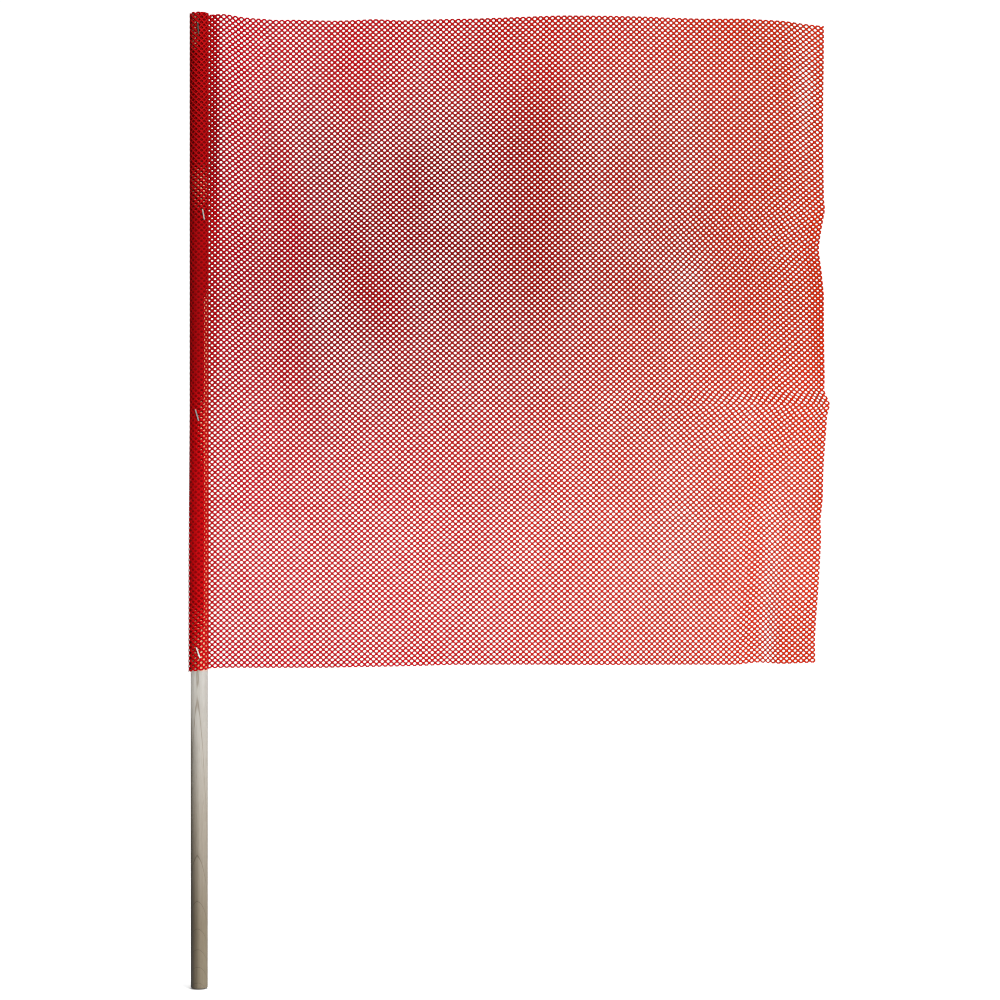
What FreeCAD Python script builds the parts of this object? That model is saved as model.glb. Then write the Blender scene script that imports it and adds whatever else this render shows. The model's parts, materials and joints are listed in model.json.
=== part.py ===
import FreeCAD, Part
import math
import os

# Hand-held warning flag: a square of open red net, wrapped round the top of a round
# wooden staff and held there by four wire staples.
# Millimetres. +Z runs up the staff, the origin is the centre of the staff's bottom end,
# the net spreads to +X and the stapled side faces -Y.

# --- staff: 36 in of 5/8 in dowel
STAFF_LENGTH = 914.4
STAFF_RADIUS = 15.875 / 2
STAFF_ARRIS = 0.4  # the saw-cut ends are just broken by sandpaper

# --- net: 24 in square of hanging cloth, and the length that is wrapped round the staff
CLOTH_THICKNESS = 0.55
WRAP_TURNS = 2
WRAP_CLEARANCE = 0.05  # between the staff and the first turn
WRAP_HEIGHT = 615.5  # the wrapped edge is pulled a little taller than the panel
PANEL_HEIGHT = 609.6
PANEL_DROP = 3.8  # from the staff's top down to the panel's top edge
FLY_EDGE_X = 588.0  # the free edge, from the staff's axis

# --- fold lines: the panel bends about upright lines, the first one beside the staff
SWING_LINE_X = 10.5
FOLD_PITCH = 150.0  # from one fold line to the next; the strip at the free edge is narrower
STRIP_COUNT = 4
FOLD_GAP = 1.6  # room at each line for two strips to turn 75 degrees without meeting
STRIP_BOWS = (3.0, 2.0, 3.5, 3.0)  # how far each strip bellies towards the front
BOW_POINTS = 9  # spline points across one strip

# --- staples: heavy-duty wire, driven square to the staff's surface
CROWN_LENGTH = 10.6
WIRE_WIDTH = 1.2
WIRE_THICKNESS = 0.6
LEG_LENGTH = 8.0  # from under the crown to the point
POINT_LENGTH = 1.2
CROWN_BEND = 0.55
CROWN_INNER_BEND = 0.25
# height up the staff, turn round the staff from the front towards +X, lean to the left
STAPLES = (
    (900.0, 1.0, 5.0),
    (725.5, 31.0, 11.0),
    (537.6, -6.0, 16.0),
    (314.9, 1.0, 19.0),
)

WRAP_INNER_RADIUS = STAFF_RADIUS + WRAP_CLEARANCE
WRAP_OUTER_RADIUS = WRAP_INNER_RADIUS + WRAP_TURNS * CLOTH_THICKNESS
BACK_Y = WRAP_OUTER_RADIUS - CLOTH_THICKNESS / 2  # middle of the cloth where it leaves the wrap
FOLD_LINES = [SWING_LINE_X + index * FOLD_PITCH for index in range(STRIP_COUNT)]
UP = FreeCAD.Vector(0, 0, 1)


def make_staff():
    """A plain round dowel with its two end edges broken."""
    rod = Part.makeCylinder(STAFF_RADIUS, STAFF_LENGTH)
    end_edges = [edge for edge in rod.Edges if isinstance(edge.Curve, Part.Circle)]
    return rod.makeChamfer(STAFF_ARRIS, end_edges)


def make_wrap():
    """The turns of cloth round the staff, with the tail that leaves them flat along the back."""
    bottom = STAFF_LENGTH - WRAP_HEIGHT
    base = FreeCAD.Vector(0, 0, bottom)
    turns = Part.makeCylinder(WRAP_OUTER_RADIUS, WRAP_HEIGHT, base)
    tail_length = SWING_LINE_X - FOLD_GAP / 2
    tail_corner = FreeCAD.Vector(0, BACK_Y - CLOTH_THICKNESS / 2, bottom)
    tail = Part.makeBox(tail_length, CLOTH_THICKNESS, WRAP_HEIGHT, tail_corner)
    bore = Part.makeCylinder(WRAP_INNER_RADIUS, WRAP_HEIGHT, base)
    return turns.fuse(tail).cut(bore).removeSplitter()


def bowed_line(start_x, end_x, bow, side_y):
    """A line across one strip: level with side_y at both ends, bellied forward between them."""
    points = []
    for i in range(BOW_POINTS):
        share = i / (BOW_POINTS - 1)
        x = start_x + share * (end_x - start_x)
        y = side_y - bow * math.sin(math.pi * share) ** 2
        points.append(FreeCAD.Vector(x, y, 0))
    line = Part.BSplineCurve()
    line.interpolate(points)
    return line.toShape()


def make_strip(index):
    """One upright strip of the panel, as tall as the cloth and one cloth thick."""
    start_x = FOLD_LINES[index] + FOLD_GAP / 2
    end_x = FLY_EDGE_X
    if index + 1 < STRIP_COUNT:
        end_x = FOLD_LINES[index + 1] - FOLD_GAP / 2
    half = CLOTH_THICKNESS / 2
    front = bowed_line(start_x, end_x, STRIP_BOWS[index], BACK_Y - half)
    back = bowed_line(start_x, end_x, STRIP_BOWS[index], BACK_Y + half)
    ends = [
        Part.makeLine(FreeCAD.Vector(x, BACK_Y - half, 0), FreeCAD.Vector(x, BACK_Y + half, 0))
        for x in (start_x, end_x)
    ]
    outline = Part.Wire(Part.__sortEdges__([front, ends[0], back, ends[1]]))
    strip = Part.Face(outline).extrude(UP * PANEL_HEIGHT)
    strip.translate(UP * (STAFF_LENGTH - PANEL_DROP - PANEL_HEIGHT))
    return strip


def make_staple():
    """A staple about its crown: X along the crown, Z out of the wood, Z = 0 under the crown."""
    outer = CROWN_LENGTH / 2
    inner = outer - WIRE_THICKNESS
    leg_end = -LEG_LENGTH
    shoulder = leg_end + POINT_LENGTH
    corners = [
        (-outer, WIRE_THICKNESS),
        (outer, WIRE_THICKNESS),
        (outer, leg_end),
        (inner, shoulder),
        (inner, 0),
        (-inner, 0),
        (-inner, shoulder),
        (-outer, leg_end),
    ]
    corners = [FreeCAD.Vector(x, -WIRE_WIDTH / 2, z) for x, z in corners]
    flat = Part.Face(Part.makePolygon(corners + corners[:1]))
    staple = flat.extrude(FreeCAD.Vector(0, WIRE_WIDTH, 0))
    for radius, x, z in (
        (CROWN_BEND, outer, WIRE_THICKNESS),
        (CROWN_INNER_BEND, inner, 0),
    ):
        bends = [edge for edge in staple.Edges if is_bend(edge, x, z)]
        staple = staple.makeFillet(radius, bends)
    return staple


def is_bend(edge, x, z):
    """True for the two edges across the wire at the given corner of the crown."""
    middle = edge.CenterOfMass
    across = abs(edge.BoundBox.YLength - WIRE_WIDTH) < 0.01
    return across and abs(abs(middle.x) - x) < 0.01 and abs(middle.z - z) < 0.01


def place_staple(height, turn, lean):
    """A staple driven into the wrap at its height, turn and lean."""
    turn = math.radians(turn)
    lean = math.radians(lean)
    outward = FreeCAD.Vector(math.sin(turn), -math.cos(turn), 0)
    sideways = FreeCAD.Vector(math.cos(turn), math.sin(turn), 0)
    along = UP * math.cos(lean) - sideways * math.sin(lean)
    spot = outward * WRAP_OUTER_RADIUS + UP * height
    staple = make_staple()
    rotation = FreeCAD.Rotation(along, outward.cross(along), outward, "ZXY")
    staple.Placement = FreeCAD.Placement(spot, rotation)
    return staple


def make_parts():
    """Every node by name."""
    staples = [place_staple(*values) for values in STAPLES]
    parts = {"staff": make_staff(), "flag_sleeve": make_wrap()}
    for name in parts:
        parts[name] = parts[name].cut(staples)
    for index in range(STRIP_COUNT):
        parts[f"flag_panel_{index + 1}"] = make_strip(index)
    for index, staple in enumerate(staples):
        parts[f"staple_{index + 1}"] = staple
    return parts


os.makedirs("parts", exist_ok=True)
for name, shape in make_parts().items():
    shape.exportStep(f"parts/{name}.step")
    box = shape.BoundBox
    print(
        f"{name}: {len(shape.Solids)} solid, valid {shape.isValid()}, {shape.Volume:.1f} mm3,"
        f" x {box.XMin:.2f} {box.XMax:.2f} y {box.YMin:.2f} {box.YMax:.2f} z {box.ZMin:.2f} {box.ZMax:.2f}"
    )
for index, line_x in enumerate(FOLD_LINES):
    print(f"fold line {index}: x {line_x:.3f} y {BACK_Y:.4f}")
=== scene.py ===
import json
import math

import bpy
import numpy as np
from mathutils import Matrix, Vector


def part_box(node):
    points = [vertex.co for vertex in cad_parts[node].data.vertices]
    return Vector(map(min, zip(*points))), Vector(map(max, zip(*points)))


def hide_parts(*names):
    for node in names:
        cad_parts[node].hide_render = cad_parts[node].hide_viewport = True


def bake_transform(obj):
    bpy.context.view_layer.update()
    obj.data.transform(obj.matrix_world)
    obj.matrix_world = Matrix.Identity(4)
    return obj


# A square of open red net wrapped round a wooden staff and stapled to it.
# The net is worked out in millimetres and turned into metres when its meshes are made.
# On the cloth, s runs from the line where it leaves the staff's back (s = 0) to the free
# edge, and back round the staff below 0. v runs up from the bottom cut, and z is the height
# above the staff's foot.

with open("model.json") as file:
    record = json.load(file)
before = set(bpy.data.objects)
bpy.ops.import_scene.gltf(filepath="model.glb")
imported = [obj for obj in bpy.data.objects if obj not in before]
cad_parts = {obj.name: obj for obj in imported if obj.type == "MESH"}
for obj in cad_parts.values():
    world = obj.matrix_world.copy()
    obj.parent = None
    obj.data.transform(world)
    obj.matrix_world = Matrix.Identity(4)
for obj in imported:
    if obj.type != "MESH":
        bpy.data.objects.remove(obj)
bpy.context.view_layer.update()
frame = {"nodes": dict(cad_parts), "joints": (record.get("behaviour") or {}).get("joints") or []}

MM = 0.001


def corners_mm(node):
    """The lowest and highest corner of a CAD node in millimetres."""
    return [np.array(corner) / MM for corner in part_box(node)]


FOLD_LINES = [joint["pos_m"][0] / MM for joint in frame["joints"]]
BACK_Y = frame["joints"][0]["pos_m"][1] / MM
PANEL_NODES = [f"flag_panel_{i + 1}" for i in range(len(FOLD_LINES))]
FLY_X = corners_mm(PANEL_NODES[-1])[1][0]

# --- the net as it is knitted
HOLE_PITCH_S = 5.55
HOLE_PITCH_V = 4.93
HOLE_HALF_S = 1.47  # from a hole's middle to its side corner
HOLE_HALF_V = 1.18  # and to its top
HOLE_ROUNDNESS = 0.68  # 0.5 is a rhombus, 0.71 an ellipse
YARN_HALF = 0.27  # half the cloth's thickness, at the knots
KNOT_UNEVENNESS = 0.12  # a share of the thickness
HOLE_UNEVENNESS = 0.045  # a share of the size
RIM_UNEVENNESS = 0.07  # at each point of a hole's rim

# --- the cloth as it is cut
CLOTH_HEIGHT = 608.0
FREE_LENGTH = 594.0  # from the staff's back to the free cut, along the cloth

# --- the wrapped turns
OUTER_TURN = BACK_Y + 0.03
INNER_TURN = OUTER_TURN - 0.5
DIVE_START = 1.5 * math.pi  # where the outer turn begins to go under itself
DIVE_END = 2.0 * math.pi
WRAP_END = math.radians(690)  # the inner cut edge, almost two turns round
WRAP_STRETCH = 1.012  # pulled tight round the staff
WRAPPED_OPENNESS = 0.72
LOOSE_BY = 1.1  # how far the outer turn stands off at its loosest
MEETING_SLIP = 0.8 * HOLE_PITCH_V / 2  # how far the inner turn slides up for the holes to meet

rng = np.random.default_rng(24)


# ------------------------------------------------------------------ small helpers

def ease(x, start, end):
    """0 before start, 1 after end, smooth between them."""
    t = np.clip((x - start) / (end - start), 0, 1)
    return t * t * (3 - 2 * t)


def bump(x, middle, half_width):
    """1 at the middle, falling away over half_width."""
    return np.exp(-(((x - middle) / half_width) ** 2))


def eased_line(points, blur):
    """A function through the given points whose corners are rounded over blur millimetres."""
    places, values = np.array(points, float).T
    grid = np.arange(places.min() - 3 * blur, places.max() + 3 * blur)
    window = np.hanning(2 * blur + 1)
    line = np.interp(grid, places, values)
    line = np.convolve(np.pad(line, blur, mode="edge"), window / window.sum(), mode="valid")
    return lambda x: np.interp(x, grid, line)


def ripples(count, shortest, longest, size):
    """A smooth random surface over s and z: a sum of plane waves."""
    lengths = rng.uniform(shortest, longest, count)
    turns = rng.uniform(0, math.pi, count)
    phases = rng.uniform(0, 2 * math.pi, count)

    def height(s, z):
        total = 0
        for length, turn, phase in zip(lengths, turns, phases):
            along = s * math.cos(turn) + z * math.sin(turn)
            total = total + np.sin(2 * math.pi * along / length + phase)
        return size * total / math.sqrt(count)

    return height


# ------------------------------------------------------------------ the cloth's shape

# Heights of the two long cuts, by distance along the cloth.
TOP_CUT = eased_line([
    (-55, 914.4), (-42, 914.4), (-22, 914.6), (-13, 913.4), (0, 914.4), (22, 916.0), (40, 912.6),
    (66, 909.7), (130, 909.3), (165, 911.0), (190, 909.5), (264, 911.4), (340, 914.0),
    (425, 913.0), (490, 911.0), (520, 910.2), (556, 908.8), (574, 906.4), (594, 903.6),
], blur=8)
BOTTOM_CUT = eased_line([
    (-55, 298.6), (-42, 299.4), (-27, 298.0), (-13, 296.4), (0, 298.6), (22, 299.6),
    (125, 299.9), (190, 301.0), (240, 302.5), (515, 302.6), (536, 305.2), (560, 303.2), (594, 304.4),
], blur=8)
# How far the free edge reaches from the staff, by height.
FREE_CUT = eased_line([
    (290, 582.4), (326, 581.6), (347, 582.6), (383, 585.0), (425, 587.4), (438, 586.6),
    (458, 589.0), (510, 590.0), (538, 591.4), (548, 594.6), (560, 588.6), (571, 589.2),
    (652, 588.8), (683, 585.2), (694, 584.2), (713, 587.0), (732, 590.6), (741, 589.4), (920, 589.4),
], blur=6)

FOLD_S = 546.0  # the upright fold in the lower free corner

ROOM_RIPPLE = ripples(7, 110, 300, 0.7)
FINE_RIPPLE = ripples(9, 25, 70, 0.16)
SIZE_RIPPLE = ripples(8, 60, 240, 0.035)
SHEAR_RIPPLE = ripples(5, 150, 420, 0.9)


def strip_bows(s):
    """The gentle belly of each strip towards the front, as the CAD strips have it."""
    total = np.zeros_like(s)
    ends = FOLD_LINES[1:] + [FLY_X]
    for node, start, end in zip(PANEL_NODES, FOLD_LINES, ends):
        bow = BACK_Y - YARN_HALF - corners_mm(node)[0][1]
        share = np.clip((s - start) / (end - start), 0, 1)
        total += bow * np.sin(math.pi * share) ** 2
    return total


def curled(z):
    """The heights where the free edge curls forward."""
    return ease(z, 480, 525) * ease(z, 705, 670)


def creases(s, z):
    """The upright folds that stay in the free cloth, towards the front."""
    # two folds beside the staff, which drift away from it lower down
    total = 2.4 * bump(s, 62 + 24 * ease(z, 910, 300), 8) * ease(z, 250, 600)
    total += 1.6 * bump(s, 92 + 20 * ease(z, 700, 300), 12)
    # soft swells in the middle
    total += 2.2 * bump(s, 316, 34) * ease(z, 560, 700)
    total += 2.6 * bump(s, 178, 26) * ease(z, 560, 660) * ease(z, 860, 790)
    total += 1.8 * bump(s, 512, 16) * ease(z, 420, 900)
    # the fold in the lower free corner, with a dip beyond it
    total += 3.0 * bump(s, FOLD_S - 6, 9) * ease(z, 500, 350)
    total -= 1.6 * bump(s, FOLD_S + 14, 8) * ease(z, 480, 340)
    # the free edge curls forward and waves a little
    total += 9.0 * ease(s, FREE_LENGTH - 22, FREE_LENGTH + 4) * curled(z)
    total += 2.5 * ease(s, FREE_LENGTH - 26, FREE_LENGTH) * np.sin(z / 27.0)
    return total


def depth(s, z):
    """How far the free cloth stands in front of the plane in which it leaves the staff."""
    free = ease(s, FOLD_LINES[0], FOLD_LINES[0] + 45)
    wave = strip_bows(s) + creases(s, z) + ROOM_RIPPLE(s, z) + FINE_RIPPLE(s, z)
    return wave * free


def turn_radius(angle):
    """The radius of the turns: the outer one dives under itself to become the inner one."""
    return OUTER_TURN + (INNER_TURN - OUTER_TURN) * ease(angle, DIVE_START, DIVE_END)


def turn_angle(s):
    """How far round the staff the cloth has gone at s below 0."""
    past_the_end = WRAP_END + 0.6
    angles = np.linspace(0, past_the_end, 900)
    radii = turn_radius(angles)
    lengths = np.concatenate([[0], np.cumsum((radii[1:] + radii[:-1]) / 2 * np.diff(angles))])
    return np.interp(-s, lengths / WRAP_STRETCH, angles)


def looseness(angle, z):
    """How far the outer turn stands off the staff: only on the left, and low down."""
    return LOOSE_BY * bump(angle, 0.5 * math.pi, 0.75) * ease(z, 560, 380)


def inner_slip(angle, z):
    """How far up the inner turn has slid, so that here and there its holes meet the outer ones."""
    over = angle - 2 * math.pi  # where on the outer turn this lies, from the back by the left
    left = ease(over, math.radians(205), math.radians(160))
    right = 1 - left
    far_right = ease(over, math.radians(200), math.radians(235))
    far_left = ease(over, math.radians(135), math.radians(110))
    meet = np.maximum.reduce([
        bump(z, 751, 26),
        right * bump(z, 524, 36),
        ease(z, 345, 322),
        0.7 * ease(z, 372, 346),
        0.6 * far_right * ease(z, 310, 330) * ease(z, 530, 500),
        0.6 * far_left * bump(z, 835, 44),
    ])
    meet = meet - left * ease(z, 870, 890)
    return MEETING_SLIP * meet * ease(angle, 1.45 * math.pi, 2.1 * math.pi)


class Cloth:
    """Where the cloth lies and the direction it faces. The free part is kept on a grid of s and z."""

    STEEPEST = 0.93  # how far it comes forward, at most, for each millimetre along it
    STRETCH_START = 330.0  # from here on the free cloth is eased out to its measured edge

    def __init__(self):
        step = HOLE_PITCH_S / 4
        # with room beyond the free cut, and below and above the two long ones
        self.s = np.arange(0, FREE_LENGTH + 12, step)
        self.z = np.arange(280, 940, 2.0)
        s, z = np.meshgrid(self.s, self.z, indexing="ij")
        self.depth = depth(s, z)
        slope = np.clip(np.gradient(self.depth, step, axis=0), -self.STEEPEST, self.STEEPEST)
        across = np.sqrt(1 - slope**2)
        x = np.cumsum(across, axis=0) * step
        x -= x[:1]
        end = x[np.searchsorted(self.s, FREE_LENGTH)]
        pull = (FREE_CUT(self.z) - end) * ease(s, self.STRETCH_START, FREE_LENGTH)
        self.x = x + pull
        self.face_x = slope
        self.face_y = -across

    def sample(self, table, s, z):
        """A table's values between its grid points."""
        inside = 1.001  # keeps i and j just short of the last grid point
        i = np.clip((s - self.s[0]) / (self.s[1] - self.s[0]), 0, len(self.s) - inside)
        j = np.clip((z - self.z[0]) / (self.z[1] - self.z[0]), 0, len(self.z) - inside)
        i0 = i.astype(int)
        j0 = j.astype(int)
        fi = i - i0
        fj = j - j0
        low = table[i0, j0] * (1 - fi) + table[i0 + 1, j0] * fi
        high = table[i0, j0 + 1] * (1 - fi) + table[i0 + 1, j0 + 1] * fi
        return low * (1 - fj) + high * fj

    def place(self, s, v):
        """Points and unit normals towards the front, for arrays of s and v."""
        share = v / CLOTH_HEIGHT
        angle = turn_angle(s)
        radius = turn_radius(angle)
        # the inner turn is cut level with the outer turn that covers it
        covering_s = -OUTER_TURN / WRAP_STRETCH * (angle - 2 * math.pi)
        cut_s = np.where(angle > 2 * math.pi, covering_s, s)
        z = BOTTOM_CUT(cut_s) * (1 - share) + TOP_CUT(cut_s) * share
        z = z + SHEAR_RIPPLE(s, z) * ease(s, 20, 120) * np.sin(math.pi * np.clip(share, 0, 1))
        z = np.where(s < 0, z + inner_slip(angle, z), z)
        radius = radius + looseness(angle, z)
        free_s = np.maximum(s, 0)
        x = np.where(s < 0, -radius * np.sin(angle), self.sample(self.x, free_s, z))
        y = np.where(s < 0, radius * np.cos(angle), OUTER_TURN - self.sample(self.depth, free_s, z))
        # on the staff the outer face looks away from the axis, and on the panel it is the back
        face_x = np.where(s < 0, np.sin(angle), self.sample(self.face_x, free_s, z))
        face_y = np.where(s < 0, -np.cos(angle), self.sample(self.face_y, free_s, z))
        points = np.stack([x, y, z], axis=-1)
        faces = np.stack([face_x, face_y, np.zeros_like(x)], axis=-1)
        return points, faces / np.linalg.norm(faces, axis=-1, keepdims=True)


def airy(s, z):
    """The places high on the panel where the net is clean and thin."""
    right = bump(s, 412, 48) * ease(z, 600, 640) * ease(z, 880, 840)
    middle = bump(s, 222, 40) * ease(z, 640, 690) * ease(z, 860, 820)
    slant = bump(s, 96 + 0.33 * (880 - z), 22) * ease(z, 650, 700) * ease(z, 905, 880)
    low = bump(s, 145, 45) * bump(z, 590, 60)
    return right + middle + slant + low


# Patches where the holes are drawn together or apart: where on the cloth
# (s, z), half width, half height, lean to +s for each millimetre upwards, and the change.
PATCHES = [
    (166, 645, 24, 54, -0.35, -0.28),
    (86, 715, 15, 50, -0.20, -0.18),
    (92, 580, 22, 60, 0.0, -0.14),
    (80, 500, 50, 50, 0.0, -0.09),
    (25, 685, 14, 15, 0.0, -0.12),
    (203, 745, 18, 48, 0.0, -0.17),
    (222, 700, 20, 12, 0.0, -0.15),
    (333, 470, 14, 13, 0.0, -0.10),
    (416, 645, 24, 24, -0.3, -0.22),
    (436, 705, 14, 14, 0.0, -0.13),
    (400, 745, 14, 30, 0.0, -0.15),
    (143, 855, 36, 40, 0.0, -0.17),
    (522, 625, 24, 32, 0.0, -0.14),
    (527, 385, 9, 75, 0.0, -0.15),
    (60, 446, 60, 9, 0.0, -0.12),
    (95, 785, 14, 48, -0.25, 0.14),
    (128, 728, 24, 16, 0.0, 0.10),
    (115, 640, 18, 36, 0.0, 0.22),
    (215, 655, 14, 20, 0.0, 0.10),
    (168, 790, 14, 36, 0.35, 0.12),
    (215, 870, 24, 32, 0.0, 0.10),
    (365, 825, 26, 38, 0.0, 0.11),
    (355, 640, 18, 34, 0.0, 0.10),
    (465, 785, 18, 55, 0.0, 0.13),
    (468, 640, 17, 38, 0.0, 0.22),
    (322, 570, 30, 13, 0.0, 0.10),
    (460, 410, 26, 44, 0.0, 0.14),
    (515, 530, 30, 28, 0.0, 0.10),
    (577, 850, 10, 60, 0.0, 0.36),
    (580, 615, 9, 25, 0.0, 0.12),
    (589, 718, 8, 26, 0.0, -0.20),
    (590, 452, 8, 30, 0.0, -0.22),
]


def patches(s, z):
    """How much the patches together open or close the net."""
    total = 0
    for patch_s, patch_z, half_width, half_height, lean, change in PATCHES:
        middle = patch_s + lean * (z - patch_z)
        total = total + change * bump(s, middle, half_width) * bump(z, patch_z, half_height)
    return total


def openness(s, z):
    """How open the net is beside its average: it was pulled wider low down than high up."""
    share = 0.91 + 0.18 * ease(z, 690, 430) + 0.04 * ease(z, 453, 445)
    share -= 0.22 * bump(s, 318, 34) * ease(z, 600, 690) * ease(z, 880, 830)
    share -= 0.14 * bump(s, 110, 55) * bump(z, 690, 70)
    share -= 0.08 * bump(s, 40, 45) * bump(z, 720, 110)
    share -= 0.07 * ease(s, 440, 500)
    share -= 0.07 * ease(s, 528, 560) * ease(z, 480, 440)
    # wider at the fold in the lower free corner
    share += (0.12 + 0.22 * ease(z, 360, 310)) * bump(s, FOLD_S, 7) * ease(z, 500, 430)
    share += 0.09 * airy(s, z)
    share -= 0.05 * bump(z, 451, 3) * ease(s, 300, 240)
    # narrower where the free edge curls
    curl = ease(s, FREE_LENGTH - 20, FREE_LENGTH - 8) * curled(z)
    share -= 0.24 * curl * ease(z, 545, 590)
    share += 0.05 * ease(s, 110, 60) * ease(z, 790, 840)
    # drawn together beside the staff, most of all high up
    drawn = 0.15 + 0.30 * ease(z, 540, 600) + 0.55 * ease(z, 660, 760)
    share -= 0.60 * ease(s, 21, 13) * drawn
    share += patches(s, z)
    return np.where(s < 0, WRAPPED_OPENNESS, share) + SIZE_RIPPLE(s, z)


def painted_light_and_shade(s, z):
    """How bright the yarn is painted: painted shade dulls the middle of the upper half, painted light
    freshens the free edge.
    """
    share = 0.92 + 0.10 * ease(s, 450, 560) * ease(z, 700, 540)
    # patches of painted shade
    share -= 0.06 * bump(s, 40, 40) * bump(z, 650, 60)
    share -= 0.08 * bump(s, 130, 100) * bump(z, 600, 60)
    share -= 0.07 * ease(s, 430, 480) * ease(z, 560, 640)
    # painted shadow of the staff on the cloth just beside it, high up
    share -= 0.22 * bump(s, 14, 8) * ease(z, 720, 780)
    share -= 0.07 * bump(s, 415, 60) * bump(z, 820, 40)
    share -= 0.08 * bump(s, 450, 30) * bump(z, 690, 60)
    # a broad painted shadow over the middle of the upper half
    share -= 0.46 * bump(s, 230, 240) * ease(z, 410, 700) * (1 - 0.62 * ease(z, 760, 880))
    share -= 0.05 * airy(s, z)
    share -= 0.25 * patches(s, z)
    # round the staff, painted shade makes the inner turn and the left rim darker
    angle = turn_angle(s)
    wrapped = 0.96 - 0.28 * ease(z, 480, 620)
    wrapped = wrapped * (1 - 0.45 * ease(angle, 1.6 * math.pi, 2.0 * math.pi))
    wrapped = wrapped * (1 - 0.4 * bump(angle, 0.5 * math.pi, 0.3))
    return np.where(s < 0, wrapped, share)


# ------------------------------------------------------------------ the net's mesh

# A hole sits at each half-pitch grid point whose indices add up to an even number, and a
# knot at each odd one. A strand joins two knots and has a hole on either side.
KNOT_SIDES = np.array([(1, 0), (0, 1), (-1, 0), (0, -1)])
RIM_POINTS = 8


def rim_offsets():
    """A hole's rim, as shares of its half width and half height, from its right corner round."""
    k = HOLE_ROUNDNESS
    return np.array([(1, 0), (k, k), (0, 1), (-k, k), (-1, 0), (-k, -k), (0, -1), (k, -k)])


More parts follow.
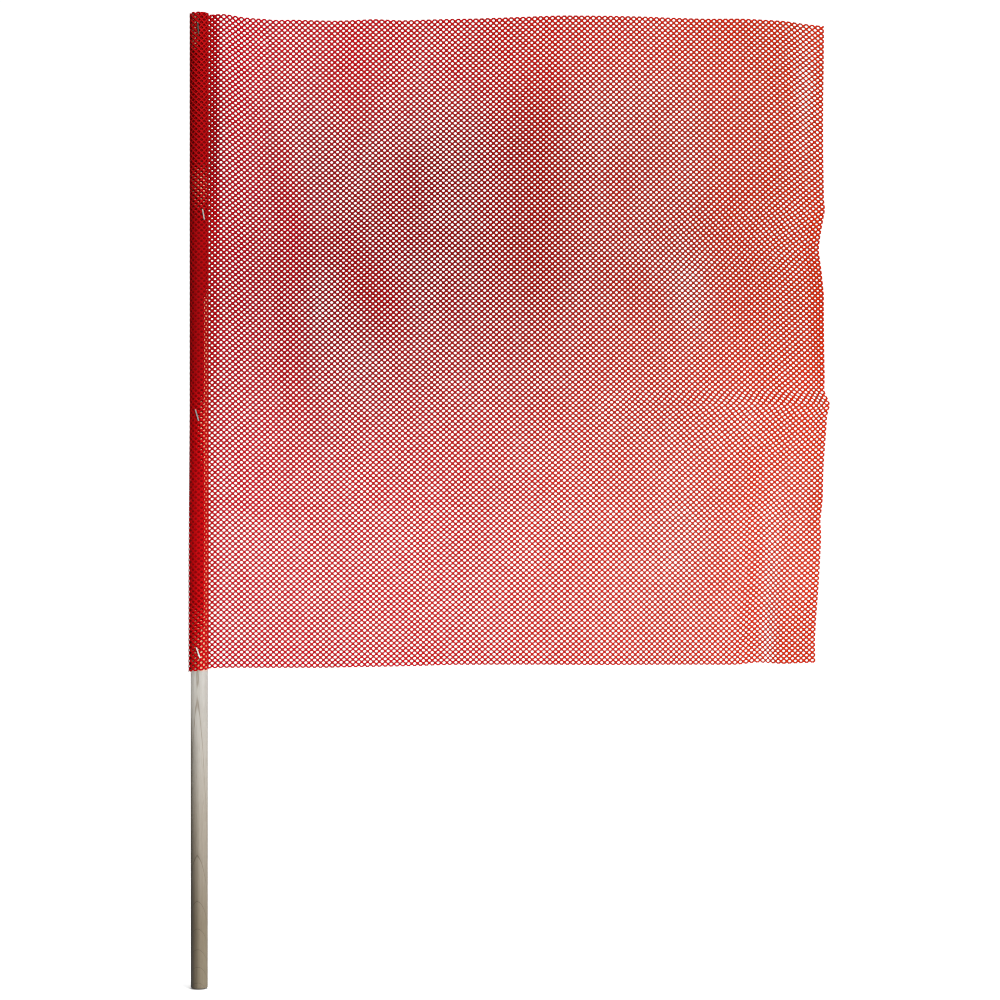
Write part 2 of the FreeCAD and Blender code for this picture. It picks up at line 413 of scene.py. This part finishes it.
class Net:
    """Every vertex of the whole net, and its strands as pairs of sectors of holes."""

    def __init__(self, cloth):
        half_s = HOLE_PITCH_S / 2
        half_v = HOLE_PITCH_V / 2
        wrap_length = (OUTER_TURN + INNER_TURN) / 2 * WRAP_END
        spare = 3  # grid lines beyond each cut, so that every strand has its knots and holes
        first = math.floor(-wrap_length / half_s) - spare
        last = math.ceil(FREE_LENGTH / half_s) + spare
        top = math.ceil(CLOTH_HEIGHT / half_v) + spare
        i, j = np.meshgrid(np.arange(first, last + 1), np.arange(-spare, top + 1), indexing="ij")
        self.is_hole = (i + j) % 2 == 0
        self.index = np.zeros(i.shape, int)
        self.index[self.is_hole] = np.arange(self.is_hole.sum())
        self.index[~self.is_hole] = np.arange((~self.is_hole).sum())
        self.s = i * half_s
        self.v = j * half_v
        self.make_points(cloth)
        self.make_strands()

    def make_points(self, cloth):
        """A front and a back point at each knot, and the points of each hole's rim between them."""
        knots = ~self.is_hole
        self.knot_count = knots.sum()
        places, faces = cloth.place(self.s[knots], self.v[knots])
        lift = rng.uniform(-KNOT_UNEVENNESS, KNOT_UNEVENNESS, (self.knot_count, 1))
        lift = YARN_HALF * (1 + lift)
        hole_s = self.s[self.is_hole]
        hole_v = self.v[self.is_hole]
        hole_z = BOTTOM_CUT(0.0) + hole_v
        size = np.sqrt(openness(hole_s, hole_z))
        size = size * (1 + rng.uniform(-HOLE_UNEVENNESS, HOLE_UNEVENNESS, size.shape))
        offsets = rim_offsets() * (HOLE_HALF_S, HOLE_HALF_V) * size[:, None, None]
        offsets = offsets + rng.uniform(-RIM_UNEVENNESS, RIM_UNEVENNESS, offsets.shape)
        rim_s = hole_s[:, None] + offsets[..., 0]
        rim_v = hole_v[:, None] + offsets[..., 1]
        rims = cloth.place(rim_s, rim_v)[0].reshape(-1, 3)
        middles = cloth.place(hole_s, hole_v)[0]
        inward = np.repeat(middles, RIM_POINTS, axis=0) - rims
        inward /= np.linalg.norm(inward, axis=1, keepdims=True)
        self.points = np.concatenate([places + lift * faces, places - lift * faces, rims])
        self.normals = np.concatenate([faces, -faces, inward])
        self.knot_share = np.concatenate([np.ones(2 * self.knot_count), np.zeros(len(rims))])
        # painted light and shade at the knots and at the rims
        knot_painted_shading = painted_light_and_shade(self.s[knots], BOTTOM_CUT(0.0) + self.v[knots])
        rim_painted_shading = np.repeat(painted_light_and_shade(hole_s, hole_z), RIM_POINTS)
        self.tone = np.concatenate([knot_painted_shading, knot_painted_shading, rim_painted_shading])

    def make_strands(self):
        """Each strand inside the cuts: its two (hole, quadrant) sectors and its middle's s."""
        inner = np.argwhere(self.is_hole[1:-1, 1:-1]) + 1
        holes, quadrants, others, other_quadrants = [], [], [], []
        for quadrant, step in ((0, (1, 1)), (1, (-1, 1))):
            holes.append(inner)
            quadrants.append(np.full(len(inner), quadrant))
            others.append(inner + step)
            other_quadrants.append(np.full(len(inner), quadrant + 2))
        holes = np.concatenate(holes)
        others = np.concatenate(others)
        s = (self.s[tuple(holes.T)] + self.s[tuple(others.T)]) / 2
        v = (self.v[tuple(holes.T)] + self.v[tuple(others.T)]) / 2
        # lower down the inner turn is cut off sooner
        inner_cut = WRAP_END - 2.1 * ease(v, 390, 330) - 0.35 * ease(v, 40, 10)
        kept = (v > 0) & (v < CLOTH_HEIGHT) & (s < FREE_LENGTH)
        kept &= (s > 0) | (turn_angle(s) < inner_cut)
        self.sectors = np.stack([holes, others], axis=1)[kept]
        self.quadrants = np.stack(
            [np.concatenate(quadrants), np.concatenate(other_quadrants)], axis=1
        )[kept]
        self.strand_s = s[kept]

    def faces(self, picked):
        """The triangles of the picked strands, closed wherever a strand ends."""
        holes = self.sectors[picked].reshape(-1, 2)
        quadrants = self.quadrants[picked].reshape(-1)
        here = self.index[tuple(holes.T)]
        used = np.zeros((self.is_hole.sum(), 4), bool)
        used[here, quadrants] = True
        ends = []
        for turn in (0, 1):
            side = KNOT_SIDES[(quadrants + turn) % 4]
            ends.append(self.index[tuple((holes + side).T)])
        near, far = ends
        near_back = near + self.knot_count
        far_back = far + self.knot_count
        rim = 2 * self.knot_count + here * RIM_POINTS
        a, b, c = (rim + (2 * quadrants + k) % RIM_POINTS for k in range(3))
        found = [
            (near, b, a), (near, far, b), (far, c, b),
            (near_back, a, b), (far_back, near_back, b), (far_back, b, c),
        ]
        triangles = [np.stack(corners, axis=1) for corners in found]
        open_near = ~used[here, (quadrants - 1) % 4]
        open_far = ~used[here, (quadrants + 1) % 4]
        triangles.append(np.stack([near, a, near_back], axis=1)[open_near])
        triangles.append(np.stack([far, far_back, c], axis=1)[open_far])
        return np.concatenate(triangles)


def net_piece(name, net, picked, material):
    """One mesh from the picked strands, in metres."""
    triangles = net.faces(picked)
    used, triangles = np.unique(triangles, return_inverse=True)
    triangles = triangles.reshape(-1, 3)
    mesh = bpy.data.meshes.new(name)
    mesh.vertices.add(len(used))
    mesh.vertices.foreach_set("co", (net.points[used] * MM).astype(np.float32).ravel())
    mesh.loops.add(triangles.size)
    mesh.loops.foreach_set("vertex_index", triangles.astype(np.int32).ravel())
    mesh.polygons.add(len(triangles))
    mesh.polygons.foreach_set("loop_start", np.arange(0, triangles.size, 3, dtype=np.int32))
    mesh.update(calc_edges=True)
    mesh.shade_smooth()
    mesh.normals_split_custom_set_from_vertices(net.normals[used])
    # the knots, and the painted light and shade, go on each point of the mesh
    for attribute, values in (("knot", net.knot_share), ("tone", net.tone)):
        layer = mesh.attributes.new(attribute, "FLOAT", "POINT")
        layer.data.foreach_set("value", values[used].astype(np.float32))
    mesh.materials.append(material)
    piece = bpy.data.objects.new(name, mesh)
    bpy.context.collection.objects.link(piece)
    return piece


# ------------------------------------------------------------------ materials

class Recipe:
    """A new material, with the few kinds of node that the recipes below are made of."""

    def __init__(self, name):
        self.material = bpy.data.materials.new(name)
        self.material.use_nodes = True
        self.nodes = self.material.node_tree.nodes
        self.links = self.material.node_tree.links
        self.shader = self.nodes["Principled BSDF"]
        self.place = self.nodes.new("ShaderNodeTexCoord").outputs["Object"]

    def axes(self):
        """The place on the object, as x, y and z."""
        node = self.nodes.new("ShaderNodeSeparateXYZ")
        self.links.new(self.place, node.inputs[0])
        return tuple(node.outputs)

    def attribute(self, name):
        """A value that the mesh carries at each point."""
        node = self.nodes.new("ShaderNodeAttribute")
        node.attribute_name = name
        return node.outputs["Fac"]

    def noise(self, cells, detail):
        """Noise with so many cells to the metre: one number, or one each for x, y and z."""
        node = self.nodes.new("ShaderNodeTexNoise")
        node.inputs["Detail"].default_value = detail
        if isinstance(cells, tuple):
            stretch = self.nodes.new("ShaderNodeMapping")
            stretch.inputs["Scale"].default_value = cells
            self.links.new(self.place, stretch.inputs["Vector"])
            node.inputs["Scale"].default_value = 1.0
            self.links.new(stretch.outputs[0], node.inputs["Vector"])
        else:
            node.inputs["Scale"].default_value = cells
            self.links.new(self.place, node.inputs["Vector"])
        return node.outputs["Fac"]

    def maths(self, operation, first, second=None):
        """A math node on outputs or numbers."""
        node = self.nodes.new("ShaderNodeMath")
        node.operation = operation
        for socket, value in zip(node.inputs, (first, second)):
            if isinstance(value, (int, float)):
                socket.default_value = value
            elif value is not None:
                self.links.new(value, socket)
        return node.outputs[0]

    def ramp(self, along, *stops):
        """A colour ramp. A stop is a place and a colour, or a place and one number for a grey."""
        node = self.nodes.new("ShaderNodeValToRGB")
        elements = node.color_ramp.elements
        while len(elements) < len(stops):
            elements.new(0.5)
        for element, (place, colour) in zip(elements, stops):
            element.position = place
            shade = colour if isinstance(colour, tuple) else (colour,) * 3
            element.color = (*shade, 1)
        self.links.new(along, node.inputs[0])
        return node.outputs[0]

    def multiply(self, base, share, tint):
        """A colour multiplied by another one, in the given share."""
        node = self.nodes.new("ShaderNodeMix")
        node.data_type = "RGBA"
        node.blend_type = "MULTIPLY"
        share_in, base_in, tint_in = node.inputs[0], node.inputs[6], node.inputs[7]
        self.links.new(base, base_in)
        if isinstance(share, float):
            share_in.default_value = share
        else:
            self.links.new(share, share_in)
        if isinstance(tint, tuple):
            tint_in.default_value = (*tint, 1)
        else:
            self.links.new(tint, tint_in)
        return node.outputs[2]

    def tint(self, base, share, along, *stops):
        """A colour multiplied by a ramp, in the given share."""
        return self.multiply(base, share, self.ramp(along, *stops))

    def feed(self, name, output):
        """Links an output to one of the shader's inputs."""
        self.links.new(output, self.shader.inputs[name])

    def relief(self, height, strength, deep):
        """Fine relief, so many metres deep."""
        node = self.nodes.new("ShaderNodeBump")
        node.inputs["Strength"].default_value = strength
        node.inputs["Distance"].default_value = deep
        self.links.new(height, node.inputs["Height"])
        self.feed("Normal", node.outputs[0])


def yarn_material():
    """Bright red knitted yarn, a little uneven in its dye and fibrous up close, with the painted light
    and shade that its mesh carries.
    """
    recipe = Recipe("flag_yarn")
    x, _, _ = recipe.axes()
    # crimson beside the staff, orange red at the free edge
    colour = recipe.ramp(
        x, (0.008, (0.58, 0.001, 0.003)), (0.02, (0.58, 0.001, 0.0085)), (0.25, (0.58, 0.003, 0.0035)),
        (0.56, (0.60, 0.022, 0.0012)),
    )
    # painted light and shade from the mesh darken or lighten the red
    colour = recipe.tint(colour, 1.0, recipe.attribute("tone"), (0.0, 0.0), (1.0, 1.0))
    # painted shade on the yarn's sides: darker at the hole rims than at the knots
    colour = recipe.tint(colour, 1.0, recipe.attribute("knot"), (0.1, 0.78), (0.8, 1.0))
    dye = recipe.noise(14.0, detail=2.0)
    colour = recipe.tint(colour, 0.35, dye, (0.3, 0.78), (0.7, 1.0))
    fibre = recipe.noise(4200.0, detail=4.0)
    colour = recipe.tint(colour, 0.5, fibre, (0.3, (0.6, 0.55, 0.55)), (0.62, 1.0))
    recipe.feed("Base Color", colour)
    recipe.relief(fibre, strength=0.35, deep=0.00012)
    recipe.feed("Roughness", recipe.ramp(fibre, (0.3, 0.9), (0.7, 0.7)))
    recipe.shader.inputs["Specular IOR Level"].default_value = 0.05
    return recipe.material


# growth rings in the staff, in metres
RING_CENTRE = (0.0006, 0.006)  # the pith, just behind the staff's axis
FRONT_RADIUS = 0.01394  # from the pith to the staff's front
RING_SPACING = 0.004
RING_PHASE = 10.864  # sets how high up the first ring runs out
RING_WAVER = 0.16  # how uneven a ring is, as a share of the spacing
GRAIN_BEND_Z = 0.2949  # where the grain begins to run out of the staff
GRAIN_RUN_OUT = 36.0  # rings per square metre below there
FOOT_Z = 0.125  # and where it begins to run out faster
FOOT_RUN_OUT = 210.0
LATE_WOOD = (0.52, 0.47, 0.40)  # the tint of the dark part of a ring
STAFF_HALF_WIDTH = 0.008


def growth_rings(recipe, x, y, z):
    """0 in the pale part of a ring and 1 in its dark part."""
    maths = recipe.maths
    across = maths("SUBTRACT", x, RING_CENTRE[0])
    behind = maths("SUBTRACT", y, RING_CENTRE[1])
    distance = maths("SQRT", maths("ADD", maths("POWER", across, 2.0), maths("POWER", behind, 2.0)))
    rings = maths("DIVIDE", maths("SUBTRACT", distance, FRONT_RADIUS), RING_SPACING)
    # the grain runs out of the staff, faster and faster towards the foot
    for start, run_out in ((GRAIN_BEND_Z, GRAIN_RUN_OUT), (FOOT_Z, FOOT_RUN_OUT)):
        below = maths("MAXIMUM", maths("SUBTRACT", start, z), 0.0)
        rings = maths("ADD", rings, maths("MULTIPLY", maths("POWER", below, 2.0), run_out))
    waver = recipe.noise((90.0, 90.0, 22.0), detail=2.0)
    rings = maths("ADD", rings, maths("MULTIPLY", waver, RING_WAVER))
    phase = maths("FRACT", maths("ADD", rings, RING_PHASE))
    return recipe.ramp(phase, (0.0, 0.0), (0.90, 0.03), (0.96, 0.20), (0.975, 1.0), (1.0, 0.0))


def staff_colour(recipe, x, z):
    """The wood's colour without its grain, by height and from side to side."""
    # from the foot: darker and grey, then paler, then painted orange light from the red net on the wood
    # it covers, and the top's end grain
    colour = recipe.ramp(
        z, (0.0, (0.142, 0.114, 0.068)), (0.06, (0.148, 0.118, 0.073)), (0.16, (0.262, 0.232, 0.185)),
        (0.2975, (0.440, 0.426, 0.398)), (0.301, (0.95, 0.46, 0.27)), (0.912, (0.95, 0.46, 0.27)),
        (0.9135, (0.27, 0.21, 0.14)),
    )
    leftmost = recipe.maths("DIVIDE", x, -STAFF_HALF_WIDTH)  # 1 at the left edge
    leftward = recipe.maths("SUBTRACT", 0.5, recipe.maths("DIVIDE", x, 2 * STAFF_HALF_WIDTH))
    # painted shade darkens the left edge, except just under the net, where painted light makes the staff
    # evenly light
    not_under_net = recipe.ramp(z, (0.235, 1.0), (0.285, 0.0), (0.2985, 0.0), (0.301, 1.0))
    colour = recipe.tint(colour, not_under_net, leftmost, (0.60, 1.0), (0.96, (0.36, 0.33, 0.27)))
    # painted light lifts the left side just under the net
    under_net = recipe.ramp(z, (0.225, 0.0), (0.265, 1.0), (0.2985, 1.0), (0.301, 0.0))
    colour = recipe.tint(
        colour, under_net, leftward, (0.10, 0.90), (0.42, 0.93), (0.60, 1.17), (0.80, 1.36), (0.95, 1.60)
    )
    # the nearer to the foot, the darker is the whole left side
    footward = recipe.ramp(z, (0.05, 1.0), (0.09, 0.85), (0.135, 0.62), (0.18, 0.30), (0.25, 0.0))
    return recipe.tint(
        colour, footward, leftward, (0.38, (1.08, 1.09, 1.14)), (0.55, (0.74, 0.73, 0.71)),
        (0.68, (0.60, 0.57, 0.53)), (0.80, (0.37, 0.34, 0.30)), (0.92, (0.21, 0.19, 0.15)),
        (0.97, (0.05, 0.045, 0.04)),
    )


def wood_material():
    """Pale grey-beige dowel: few wide growth rings, fine pores, darker towards the foot, with painted
    shade on its left edge and painted orange light under the net.
    """
    recipe = Recipe("staff_bare_wood")
    x, y, z = recipe.axes()
    colour = recipe.multiply(staff_colour(recipe, x, z), growth_rings(recipe, x, y, z), LATE_WOOD)
    streaks = recipe.noise((420.0, 420.0, 9.0), detail=3.0)
    colour = recipe.tint(colour, 0.35, streaks, (0.3, (0.80, 0.78, 0.74)), (0.7, (1.06, 1.06, 1.05)))
    pores = recipe.noise((3300.0, 3300.0, 90.0), detail=4.0)
    colour = recipe.tint(colour, 0.45, pores, (0.34, (0.66, 0.62, 0.56)), (0.48, 1.0))
    recipe.feed("Base Color", colour)
    recipe.relief(pores, strength=0.5, deep=0.00015)
    recipe.feed("Roughness", recipe.ramp(streaks, (0.3, 0.72), (0.7, 0.55)))
    return recipe.material


def wire_material():
    """Bright drawn staple wire with faint drawing lines, with a painted reflection that makes it darker
    higher up the staff.
    """
    recipe = Recipe("staple_bright_wire")
    _, _, z = recipe.axes()
    lines = recipe.noise((9000.0, 9000.0, 500.0), detail=3.0)
    colour = recipe.ramp(lines, (0.3, (0.72, 0.72, 0.70)), (0.7, 1.0))
    # painted reflection: the wire is darker higher up the staff
    colour = recipe.tint(
        colour, 1.0, z, (0.45, 1.0), (0.60, (0.42, 0.43, 0.44)), (0.70, (0.13, 0.115, 0.11)),
        (0.88, (0.17, 0.175, 0.15)),
    )
    recipe.feed("Base Color", colour)
    recipe.relief(lines, strength=0.25, deep=0.00005)
    recipe.feed("Roughness", recipe.ramp(lines, (0.3, 0.42), (0.7, 0.28)))
    recipe.shader.inputs["Metallic"].default_value = 1.0
    return recipe.material


def floor_material():
    """Plain pale studio floor."""
    recipe = Recipe("studio_floor")
    mottle = recipe.noise(3.0, detail=2.0)
    recipe.feed("Base Color", recipe.ramp(mottle, (0.3, 0.90), (0.7, 0.93)))
    recipe.shader.inputs["Roughness"].default_value = 0.9
    recipe.shader.inputs["Specular IOR Level"].default_value = 0.1
    return recipe.material


# ------------------------------------------------------------------ the stage, in metres

CAMERA_DISTANCE = 2.3
CAMERA_X = 0.2827
CAMERA_Z = 0.458
FRAME_WIDTH_AT_STAFF = 0.940  # what the frame's width spans at the staff
SENSOR_MM = 36.0

FLOOR_HALF = 0.8
FLOOR_Z = -0.001

# The surround is white where the camera sees it. What it gives the flag as light is less, and
# least on the left, as beside a black screen.
SEEN_STRENGTH = 1.05
LEFT_STRENGTH = 0.02
RIGHT_STRENGTH = 0.50
LEFT_SIDE = -0.6  # the x of directions that are wholly on the left
RIGHT_SIDE = 0.7

NET_MIDDLE = (0.3, 0, 0.5)
# name, place, what it faces, width and height, watts
LIGHTS = (
    ("key", (2.1, -2.2, 1.3), NET_MIDDLE, (1.6, 1.6), 78),
    ("fill", (1.3, -2.9, 0.8), NET_MIDDLE, (1.4, 1.8), 16),
    ("front", (-0.3, -2.6, 0.45), NET_MIDDLE, (0.5, 0.5), 3),
    ("top", (0.2, -0.1, 2.6), (0.2, 0.1, 0), (2.4, 2.4), 90),
)


def make_camera():
    """A long lens square to the flag's front."""
    data = bpy.data.cameras.new("camera")
    data.sensor_width = SENSOR_MM
    data.lens = SENSOR_MM * CAMERA_DISTANCE / FRAME_WIDTH_AT_STAFF
    data.clip_end = 50
    camera = bpy.data.objects.new("camera", data)
    camera.location = (CAMERA_X, -CAMERA_DISTANCE, CAMERA_Z)
    camera.rotation_euler = (math.radians(90), 0, 0)
    bpy.context.collection.objects.link(camera)
    bpy.context.scene.camera = camera


def soft_light(name, place, target, size, power):
    """A rectangular light turned to face its target."""
    data = bpy.data.lights.new(name, "AREA")
    data.shape = "RECTANGLE"
    data.size, data.size_y = size
    data.energy = power
    light = bpy.data.objects.new(name, data)
    light.location = place
    away = np.array(place) - np.array(target)
    yaw = math.atan2(away[0], -away[1])
    pitch = math.atan2(away[2], math.hypot(away[0], away[1]))
    light.rotation_euler = (math.radians(90) - pitch, 0, yaw)
    bpy.context.collection.objects.link(light)


def make_floor():
    """A plain square floor, just under the staff's foot."""
    half = FLOOR_HALF
    corners = [(-half, -half, 0), (half, -half, 0), (half, half, 0), (-half, half, 0)]
    mesh = bpy.data.meshes.new("floor")
    mesh.from_pydata(corners, [], [(0, 1, 2, 3)])
    mesh.materials.append(floor_material())
    floor = bpy.data.objects.new("floor", mesh)
    floor.location = (0, 0, FLOOR_Z)
    bpy.context.collection.objects.link(floor)


def make_surround():
    """A white surround that lights the flag mostly from the right."""
    world = bpy.data.worlds.new("studio")
    bpy.context.scene.world = world
    world.use_nodes = True
    nodes, links = world.node_tree.nodes, world.node_tree.links
    seen = nodes["Background"]
    seen.inputs["Color"].default_value = (1, 1, 1, 1)
    seen.inputs["Strength"].default_value = SEEN_STRENGTH
    lighting = nodes.new("ShaderNodeBackground")
    lighting.inputs["Color"].default_value = (1, 1, 1, 1)
    towards = nodes.new("ShaderNodeSeparateXYZ")
    links.new(nodes.new("ShaderNodeTexCoord").outputs["Generated"], towards.inputs[0])
    spread = nodes.new("ShaderNodeMapRange")
    spread.inputs["From Min"].default_value = LEFT_SIDE
    spread.inputs["From Max"].default_value = RIGHT_SIDE
    spread.inputs["To Min"].default_value = LEFT_STRENGTH
    spread.inputs["To Max"].default_value = RIGHT_STRENGTH
    links.new(towards.outputs["X"], spread.inputs["Value"])
    links.new(spread.outputs[0], lighting.inputs["Strength"])
    rays = nodes.new("ShaderNodeLightPath")
    either = nodes.new("ShaderNodeMixShader")
    links.new(rays.outputs["Is Camera Ray"], either.inputs[0])
    links.new(lighting.outputs[0], either.inputs[1])
    links.new(seen.outputs[0], either.inputs[2])
    links.new(either.outputs[0], nodes["World Output"].inputs["Surface"])


def make_stage():
    """A pale floor, a white surround and soft light from the front and above."""
    make_floor()
    make_surround()
    for light in LIGHTS:
        soft_light(*light)
    bpy.context.scene.view_settings.view_transform = "Standard"
    bpy.context.scene.cycles.filter_width = 1.0


# ------------------------------------------------------------------ putting it together

FIRST_BORDER = 75.0  # from a fold line to the end of its length of net
BORDER_SHIFT = 12.5  # each border lies this much further out, so that no length is too heavy


def make_net():
    """The cloth as one net, cut into lengths that each hold one fold line."""
    net = Net(Cloth())
    material = yarn_material()
    borders = [
        line + FIRST_BORDER + BORDER_SHIFT * index for index, line in enumerate(FOLD_LINES[:-1])
    ]
    starts = [-math.inf] + borders
    ends = borders + [math.inf]
    for index, (start, end) in enumerate(zip(starts, ends)):
        picked = (net.strand_s >= start) & (net.strand_s < end)
        piece = net_piece(f"flag_net_{index + 1}", net, picked, material)
        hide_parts(PANEL_NODES[index], *(["flag_sleeve"] if index == 0 else []))
        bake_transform(piece)


def dress_cad():
    """Wood on the CAD staff and wire on the CAD staples."""
    wood = wood_material()
    wire = wire_material()
    for name, node in frame["nodes"].items():
        for slot in node.material_slots:
            if name == "staff":
                slot.material = wood
            if name.startswith("staple"):
                slot.material = wire


make_camera()
make_stage()
make_net()
dress_cad()
